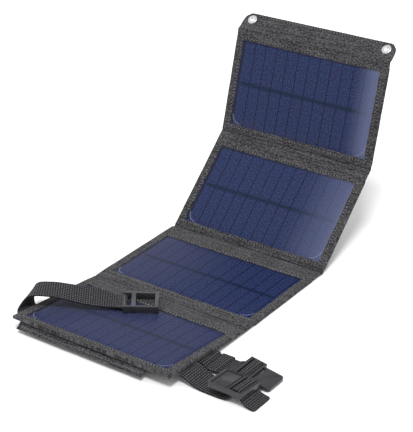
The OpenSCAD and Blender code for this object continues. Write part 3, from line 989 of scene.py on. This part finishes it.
def seam_stitches(corners, place):
    """Stitches along a closed or open line of flat corners, laid on the fabric by place(x, flat)."""
    stitches = []
    reach = STITCH_LENGTH / STITCH_PITCH / 2
    for (x1, y1), (x2, y2) in zip(corners, corners[1:]):
        count = max(1, round(math.hypot(x2 - x1, y2 - y1) / STITCH_PITCH))
        for k in range(count):
            shares = [(k + 0.5 - reach) / count, (k + 0.5 + reach) / count]
            ends = [place(x1 + (x2 - x1) * share, y1 + (y2 - y1) * share) for share in shares]
            (start, up), (end, _) = ends
            stitches.append((start, end, up))
    return stitches


def on_fabric(x, flat):
    """A place on the fabric's upper side and the direction away from it."""
    upper, _ = strip_heights(x, flat)
    point = on_strip(x, flat, upper)
    return point, (on_strip(x, flat, upper + MM) - point).normalized()


def seam(name, stitches, body):
    """Thread, and near black marks in the pulled holes between its stitches: painted shade."""
    piece = new_piece(name, stitch_mesh(stitches, STITCH_RADIUS), THREAD, 80)
    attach(piece, body)
    # the holes' dark marks are painted shade
    holes = []
    for start, end, up in stitches:
        step = (end - start).normalized() * HOLE_STEP
        holes.append((end - step, end + 6 * step, up))
    piece = new_piece(f"{name}_holes", stitch_mesh(holes, HOLE_RADIUS), HOLE_SHADE, 80)
    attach(piece, body)


def window_seam(number):
    panel = PANELS[number - 1]
    x = panel.window[0] + SEAM_OUT
    y = panel.window[1] + SEAM_OUT
    corners = [(-x, panel.flat - y), (x, panel.flat - y), (x, panel.flat + y), (-x, panel.flat + y)]
    seam(f"window_seam_{number}", seam_stitches(corners + corners[:1], on_fabric), panel.body)


def tab_seam():
    end = PANELS[4].block[1] - 2.2 * MM
    reach = HALF_WIDTH - 15 * MM
    seam("tab_seam", seam_stitches([(-reach, end), (reach, end)], on_fabric), "tab")


def build_stitching():
    for number in range(1, 5):
        window_seam(number)
    tab_seam()


# ---------------- webbing


def unique_points(name):
    points = []
    for point in node_points(name):
        if all((point - other).length > 0.01 * MM for other in points):
            points.append(point)
    return points


def ribbon_route(name, thick, wide, start):
    """Stations of a ribbon in order from start: (middle, side), found from its rectangular sections."""
    edges = pairs_at(unique_points(name), thick)
    stations = []
    used = set()
    for i, first in enumerate(edges):
        if i in used:
            continue
        rest = [k for k in range(i + 1, len(edges)) if k not in used]
        partner = min(rest, key=lambda k: abs((edges[k] - first).length - wide))
        used.update((i, partner))
        stations.append(((first + edges[partner]) / 2, (edges[partner] - first).normalized()))
    route = [min(stations, key=lambda item: (item[0] - start).length)]
    stations.remove(route[0])
    while stations:
        nearest = min(stations, key=lambda item: (item[0] - route[-1][0]).length)
        stations.remove(nearest)
        side = nearest[1] if nearest[1].dot(route[-1][1]) > 0 else -nearest[1]
        route.append((nearest[0], side))
    return route


def pairs_at(points, distance):
    """Middles of the pairs of points that are exactly this far apart."""
    middles = []
    free = list(range(len(points)))
    while free:
        first = free.pop(0)
        partner = min(free, key=lambda k: abs((points[k] - points[first]).length - distance))
        free.remove(partner)
        middles.append((points[first] + points[partner]) / 2)
    return middles


def curve_through(route, step):
    """Evenly spaced (length, middle, side) along a smooth curve through the stations."""
    knots = [route[0]] + route + [route[-1]]
    dense = []
    for k in range(1, len(knots) - 2):
        for j in range(12):
            dense.append(tuple(catmull(knots, k, j / 12, part) for part in (0, 1)))
    dense.append(route[-1])
    samples = [(0.0, dense[0][0], dense[0][1].normalized())]
    length = 0.0
    last = 0.0
    for before, after in zip(dense, dense[1:]):
        length += (after[0] - before[0]).length
        if length - last >= step:
            last = length
            samples.append((length, after[0], after[1].normalized()))
    if length - last > 0.3 * step:
        samples.append((length, dense[-1][0], dense[-1][1].normalized()))
    return samples


def catmull(knots, k, t, part):
    a, b, c, d = (knots[k + offset][part] for offset in (-1, 0, 1, 2))
    return 0.5 * (2 * b + (c - a) * t + (2 * a - 5 * b + 4 * c - d) * t * t + (3 * b - a - 3 * c + d) * t**3)


def webbing_mesh(samples, wide, thick, ring=False, cut=0.0):
    """Webbing along samples; cut rounds the corners of its far end."""
    count = len(samples)
    forward = []
    for k in range(count):
        low = samples[k - 1 if ring else max(k - 1, 0)]
        high = samples[(k + 1) % count if ring else min(k + 1, count - 1)]
        forward.append((high[1] - low[1]).normalized())
    lookup = {sample[0]: k for k, sample in enumerate(samples)}
    total = samples[-1][0]
    half = wide / 2
    columns = rounded_ends(spaced(-half, half, 1.3 * MM), WEB_NOSE)
    rows = [Column(sample[0], 1.0) for sample in samples]
    if not ring:
        rows[0] = Column(rows[0].at, 0.55)
        rows[-1] = Column(rows[-1].at, 0.55)

    def surface(u, v):
        k = lookup[v]
        _, middle, side = samples[k]
        up = forward[k].cross(side).normalized()
        narrow = 1.0
        over = v - (total - cut)
        if cut > 0 and over > 0:
            narrow = (half - cut + math.sqrt(max(cut**2 - over**2, 0.0))) / half
        columns_wave = math.cos(u / (2.0 * MM) * 2 * math.pi)
        ridge = 0.06 * MM * columns_wave * math.cos(v / (1.25 * MM) * 2 * math.pi)
        centre = middle + side * (u * narrow)
        reach = thick / 2 + ridge
        return centre + up * reach, centre - up * reach

    return loft(columns, rows, surface, ring)


def webbing_piece(name, mesh, body, *nodes):
    settle(new_piece(name, mesh, WEBBING, 60), body, "webbing", *nodes)


def webbing_size():
    """Width and thickness of the webbing, from a sewn strap end."""
    low, high = local_box("strap_base_near", PANELS[0].frame)
    return high.y - low.y, min(high.z - low.z, 2 * MM)


WEB_W, WEB_T = webbing_size()


def strap(name, body, start, cut=0.0, lead=0.0, tuck=0.0):
    """A strap that follows its CAD ribbon; tuck and lead carry it on past its start and its end."""
    route = ribbon_route(name, WEB_T, WEB_W, start)
    if tuck:
        back = (route[0][0] - start).normalized()
        route.insert(0, (route[0][0] - Vector((back.x, 0, 0)).normalized() * tuck, route[0][1]))
    if lead:
        ahead = (route[-1][0] - route[-2][0]).normalized()
        route.append((route[-1][0] + ahead * lead, route[-1][1]))
    samples = curve_through(route, WEB_STEP)
    webbing_piece(f"{name}_webbing", webbing_mesh(samples, WEB_W, WEB_T, cut=cut), body, name)


def eye_route(pivot, out, up, side, leg, upper, lower):
    """Route of a sewn eye: along a leg, round the bar and back; heights are those of the two layers."""
    radius = BAR_RADIUS + 0.1 * MM + WEB_T / 2
    wide = 3.8 * MM if upper < -radius else radius
    path = [(-leg, upper), (-leg * 0.7, upper)]
    if upper < -radius:
        path += [(-leg * 0.55, upper), (-4.4 * MM, upper + 0.9 * MM)]
        turns = range(190, -65, -20)
    else:
        turns = range(150, -151, -20)
    for turn in turns:
        angle = math.radians(turn)
        path.append((wide * math.cos(angle), radius * math.sin(angle)))
    if upper < -radius:
        path += [(-1.2 * MM, lower + 0.4 * MM), (-4 * MM, lower)]
    path += [(-leg * 0.7, lower), (-leg, lower)]
    return [(pivot + out * along + up * height, side) for along, height in path]


def sewn_eye(name, route, body, node):
    webbing_piece(name, webbing_mesh(curve_through(route, EYE_STEP), WEB_W, WEB_T), body, node)


def ring_eye():
    item = joint("ring_turn")
    pivot = Vector(item["pos_m"])
    side = Vector(item["axis"]).normalized()
    up = broad_normal("strap_ring")
    out = side.cross(up).normalized()
    if out.dot(pivot - Vector(joint("ring_strap_swing")["pos_m"])) < 0:
        out = -out
    matrix = axes_frame(out, up, pivot)
    leg = -local_box("ring_strap_loop", matrix)[0].x
    route = eye_route(pivot, out, up, side, leg, WEB_T / 2, -WEB_T / 2)
    sewn_eye("ring_eye", route, "left_strap", "ring_strap_loop")


def buckle_frame(name, outward):
    """Frame of a buckle: X runs from its outer bar towards its far end, the origin on its strap bar."""
    up = broad_normal(name)
    out = (outward - up * outward.dot(up)).normalized()
    matrix = axes_frame(out, up, Vector())
    low, high = local_box(name, matrix)
    centre = matrix @ Vector((low.x + STRAP_BAR, (low.y + high.y) / 2, 0))
    return axes_frame(out, up, centre), low, high


def far_eye():
    matrix, low, high = buckle_frame("far_buckle", ACROSS)
    bar_z = high.z - (high.z - low.z) / 2
    pivot = matrix @ Vector((0, 0, bar_z))
    out, side, up = (matrix.to_3x3().col[axis].copy() for axis in range(3))
    loop_low, _ = local_box("far_strap_loop", axes_frame(out, up, pivot))
    leg = -loop_low.x
    route = eye_route(pivot, out, up, side, leg, loop_low.z + 1.5 * WEB_T, loop_low.z + 0.5 * WEB_T)
    sewn_eye("far_eye", route, "hook_buckle", "far_strap_loop")


def keeper():
    """Elastic loop that holds the far strap's end down."""
    low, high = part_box("far_keeper")
    middle = (low + high) / 2
    thick = 1.0 * MM
    corner = 1.3 * MM
    half_y = (high.y - low.y) / 2 - thick / 2 - corner
    half_z = (high.z - low.z) / 2 - thick / 2 - corner
    path = []
    for quarter, (sy, sz) in enumerate([(1, 1), (-1, 1), (-1, -1), (1, -1)]):
        for k in range(5):
            angle = math.radians(90 * quarter + 22.5 * k)
            y = middle.y + sy * half_y + corner * math.cos(angle)
            z = middle.z + sz * half_z + corner * math.sin(angle)
            path.append(Vector((middle.x, y, z)))
    samples = []
    length = 0.0
    for point, following in zip(path, path[1:] + path[:1]):
        step = (following - point).length
        pieces = max(1, round(step / (2 * MM)))
        for j in range(pieces):
            samples.append((length + step * j / pieces, point.lerp(following, j / pieces), ACROSS))
        length += step
    mesh = webbing_mesh(samples, high.x - low.x, thick, ring=True)
    webbing_piece("keeper_loop", mesh, "keeper", "far_keeper")


def strap_root(name):
    """Sewn end of a strap under the base panel's edge."""
    low, high = local_box(name, PANELS[0].frame)
    along = high.x - low.x
    columns = rounded_ends(spaced(low.y, high.y, 1.5 * MM), WEB_NOSE)
    rows = rounded_ends(spaced(0, along, 1.5 * MM), WEB_NOSE)

    def surface(u, v):
        return tuple(PANELS[0].frame @ Vector((low.x + v, u, z)) for z in (high.z, low.z))

    webbing_piece(f"{name}_webbing", loft(columns, rows, surface), "base_panel", name)


def build_straps():
    left = Vector(joint("ring_strap_swing")["pos_m"])
    near = Vector(joint("front_strap_swing")["pos_m"])
    flop = Vector(joint("catch_buckle_flop")["pos_m"])
    far = Vector(joint("rear_strap_swing")["pos_m"])
    strap("ring_strap", "left_strap", left, lead=4 * MM, tuck=3 * MM)
    strap("near_strap", "front_right_strap", near, tuck=3.5 * MM)
    strap("near_strap_tail", "catch_buckle", flop, cut=2.2 * MM)
    strap("far_strap", "rear_right_strap", far, tuck=3.5 * MM)
    ring_eye()
    far_eye()
    keeper()
    for name in ("strap_base_left", "strap_base_near", "strap_base_far"):
        strap_root(name)


# ---------------- buckles, ring and output box


def grip_material():
    """Buckle plastic with raised arcs on the sunk grip plate; the arcs are painted lighter as a painted highlight.
    """
    material = plastic_material("grip_arcs", BUCKLE_COLOUR, 0.28)
    tree = material.node_tree
    shader = tree.nodes["Principled BSDF"]
    matrix, low, high = buckle_frame("near_buckle", -ACROSS)
    start = GRIP_START - STRAP_BAR
    end = high.x - low.x - GRIP_RIM - STRAP_BAR
    half = (high.y - low.y) / 2 - BUCKLE_RAIL
    place = vector_of(tree, "SUBTRACT", body_place(tree), matrix.translation).outputs[0]
    turn = matrix.to_3x3()
    x, y = (vector_of(tree, "DOT_PRODUCT", place, turn.col[axis]).outputs[1] for axis in (0, 1))
    spot = add(tree, "ShaderNodeCombineXYZ", {0: math_of(tree, "SUBTRACT", end, x), 1: y}).outputs[0]
    reach = vector_of(tree, "LENGTH", spot).outputs[1]
    wave = math_of(tree, "PINGPONG", reach, ARC_PITCH / 2)
    ridge = fade(tree, wave, 0.15 * MM, ARC_PITCH / 2 - 0.1 * MM)
    borders = [(math_of(tree, "ABSOLUTE", y), half), (x, end), (times(tree, x, -1.0), -start)]
    for value, limit in borders:
        ridge = times(tree, ridge, fade(tree, value, limit - 0.6 * MM, limit - 0.2 * MM))
    below = shader.inputs["Base Color"].links[0].from_socket
    # painted highlight: the arcs are drawn lighter than the plastic around them
    feed(shader, "Base Color", mixed(tree, times(tree, ridge, 0.7), below, (0.060, 0.060, 0.066, 1)))
    grained = shader.inputs["Normal"].links[0].from_socket
    feed(shader, "Normal", bumped(tree, ridge, 0.4 * MM, grained))
    return material


def moulded(name, body, bevel, material, slot):
    settle(refined(name, bevel, material), body, slot, name)


def build_hardware():
    moulded("strap_ring", "ring", 0.6 * MM, BUCKLE_PLASTIC, "buckle_plastic")
    moulded("near_buckle", "catch_buckle", 0.35 * MM, grip_material(), "buckle_plastic")
    moulded("far_buckle", "hook_buckle", 0.35 * MM, BUCKLE_PLASTIC, "buckle_plastic")
    moulded("output_box_base", "base_panel", 0.25 * MM, BOX_PLASTIC, "box_plastic")
    moulded("output_box_lid", "base_panel", 0.25 * MM, BOX_PLASTIC, "box_plastic")


# ---------------- pocket and flap


def pocket_profile(low, high):
    """(y, z) places along the pouch: down its lip, along its floor and up to the panel."""
    inverse = PANELS[0].frame.inverted()
    points = [inverse @ point for point in node_points("pocket")]
    floor_end = max(point.y for point in points if point.z < low.z + 0.05 * MM)
    lip = [(low.y, low.z + POCKET_LIP * share) for share in (1, 0.66, 0.33, 0.1)]
    floor = [(y, low.z) for y in spaced(low.y + 0.5 * MM, floor_end, 2.5 * MM)]
    back = [
        (y, low.z * (high.y - y) / (high.y - floor_end))
        for y in spaced(floor_end + 2 * MM, high.y, 2.5 * MM)
    ]
    return lip + floor + back


def pocket_piece():
    """Pouch under the base panel, with a lip at its mouth."""
    matrix = PANELS[0].frame
    low, high = local_box("pocket", matrix)
    box_low, box_high = local_box("output_box_base", matrix)

    def surface(x, y, z):
        """A place of the pouch, which rounds off at its sides and is slack beside the output box."""
        inset = min(x - low.x, high.x - x)
        fullness = math.sqrt(max(1 - (1 - min(inset / POCKET_ROUND, 1)) ** 2, 0))
        beside_box = smooth(max(box_low.x - x, x - box_high.x) / (8 * MM))
        slack = 0.9 * MM * beside_box * (0.5 + 0.5 * noise.noise(Vector((x * 60, y * 60, 4.4))))
        return matrix @ Vector((x, y, min(z + slack, 0) * fullness))

    profile = pocket_profile(low, high)
    runs = [0.0]
    for before, after in zip(profile, profile[1:]):
        runs.append(runs[-1] + math.dist(before, after))
    across = spaced(low.x, high.x, 2.4 * MM)
    points = [surface(x, y, z) for y, z in profile for x in across]
    uvs = [(x, run) for run in runs for x in across]
    count = len(across)
    faces = [
        (r * count + c, r * count + c + 1, (r + 1) * count + c + 1, (r + 1) * count + c)
        for r in range(len(profile) - 1)
        for c in range(count - 1)
    ]
    piece = new_piece("pocket_pouch", mesh_of(points, faces, uvs), CLOTH, 60)
    shell = piece.modifiers.new("shell", "SOLIDIFY")
    shell.thickness = POCKET_WALL
    shell.offset = -1 if sheet_looks_down(piece) else 1
    apply_modifiers(piece)
    settle(piece, "base_panel", "pack_cloth", "pocket")


def sheet_looks_down(piece):
    return sum(polygon.normal.z * polygon.area for polygon in piece.data.polygons) < 0


def flap_piece():
    """Flap over the pocket's mouth, slightly wavy, with a thicker hem at its free edge."""
    matrix = axes_frame(ACROSS, broad_normal("pocket_flap"), Vector())
    low, high = local_box("pocket_flap", matrix)
    hem_end = low.y + FLAP_HEM
    columns = rounded_ends(spaced(low.x, high.x, 2.2 * MM), 0.5 * MM)
    rows = spaced(low.y, high.y, 0.8 * MM) + [hem_end, hem_end + 0.15 * MM]
    rows = rounded_ends(merged(rows, 0.05 * MM), 0.45 * MM)

    def surface(x, y):
        loose = (high.y - y) / (high.y - low.y)
        broad = 0.5 * noise.noise(Vector((x * 45, 1.0, y * 20)))
        narrow = 0.25 * noise.noise(Vector((x * 130, 7, 0)))
        wave = loose * (broad + narrow) * MM
        top = high.z if y < hem_end else high.z - FLAP_FOLD
        return tuple(matrix @ Vector((x, y, z + wave)) for z in (top, low.z))

    def on_flap(x, y):
        return surface(x, y)[0], matrix.to_3x3().col[2].copy()

    piece = new_piece("flap_cloth", loft(columns, rows, surface), CLOTH, 50)
    settle(piece, "flap", "pack_cloth", "pocket_flap")
    line = hem_end + 0.9 * MM
    stitches = seam_stitches([(low.x + 3 * MM, line), (high.x - 3 * MM, line)], on_flap)
    thread = new_piece("flap_seam", stitch_mesh(stitches, STITCH_RADIUS * 0.9), THREAD, 80)
    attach(thread, "flap")


# ---------------- CAD nodes that stay


def paint_frame():
    """Gives the CAD nodes that stay their materials."""
    nickel = metal_material("bright_nickel", (0.86, 0.86, 0.88, 1), 0.14)
    steel = metal_material("plated_steel", (0.70, 0.70, 0.72, 1), 0.28, 0.02)
    stiffener = plastic_material("stiffener_sheet", (0.015, 0.015, 0.015, 1), 0.55)
    tape = thread_material("hook_and_loop", (0.030, 0.030, 0.030, 1))
    tongue = plastic_material("port_tongue_plastic", (0.62, 0.62, 0.60, 1), 0.4)
    looks = {
        "eyelet_metal": nickel,
        "port_metal": steel,
        "lead_copper": COPPER,
        "stiffener": stiffener,
        "fastener_tape": tape,
        "port_tongue": tongue,
        "board_green": board_material(),
        "light_lens": lens_material(),
        "box_plastic": BOX_PLASTIC,
        "buckle_plastic": BUCKLE_PLASTIC,
        "pack_cloth": CLOTH,
        "webbing": WEBBING,
    }
    for node in frame["nodes"].values():
        for place in node.material_slots:
            if place.material and place.material.name in looks:
                place.material = looks[place.material.name]


# ---------------- floor, light and camera


def build_stage():
    """Pale floor just below the part, white surroundings and one soft sun."""
    below = (0, 0, cad_box[0][2] - 0.2 * MM)
    bpy.ops.mesh.primitive_grid_add(size=8, x_subdivisions=8, y_subdivisions=8, location=below)
    floor = bpy.context.object
    floor.name = "floor"
    floor.data.materials.append(floor_material())
    world = bpy.data.worlds.new("soft_box")
    world.use_nodes = True
    background = world.node_tree.nodes["Background"]
    background.inputs["Color"].default_value = (1.0, 1.0, 1.0, 1)
    background.inputs["Strength"].default_value = 0.86
    bpy.context.scene.world = world
    data = bpy.data.lights.new("key", "SUN")
    data.energy = 2.1
    data.angle = math.radians(14)
    light = bpy.data.objects.new("key", data)
    light.rotation_euler = Vector((-0.28, 0.42, -1.0)).to_track_quat("-Z", "Y").to_euler()
    bpy.context.scene.collection.objects.link(light)


def build_camera():
    azimuth = math.radians(CAMERA_AZIMUTH)
    elevation = math.radians(CAMERA_ELEVATION)
    away = Vector((
        math.sin(azimuth) * math.cos(elevation),
        -math.cos(azimuth) * math.cos(elevation),
        math.sin(elevation),
    ))
    data = bpy.data.cameras.new("camera")
    data.sensor_fit = "HORIZONTAL"
    data.sensor_width = 36
    data.lens = CAMERA_LENS
    camera = bpy.data.objects.new("camera", data)
    camera.location = CAMERA_TARGET + away * CAMERA_DISTANCE
    level = (-away).to_track_quat("-Z", "Y").to_matrix().to_4x4()
    camera.rotation_euler = (level @ Matrix.Rotation(math.radians(CAMERA_ROLL), 4, "Z")).to_euler()
    bpy.context.scene.collection.objects.link(camera)
    bpy.context.scene.camera = camera


build_camera()
build_strip()
build_stitching()
build_straps()
build_hardware()
pocket_piece()
flap_piece()
paint_frame()
build_stage()
bpy.context.scene.view_settings.view_transform = "Standard"
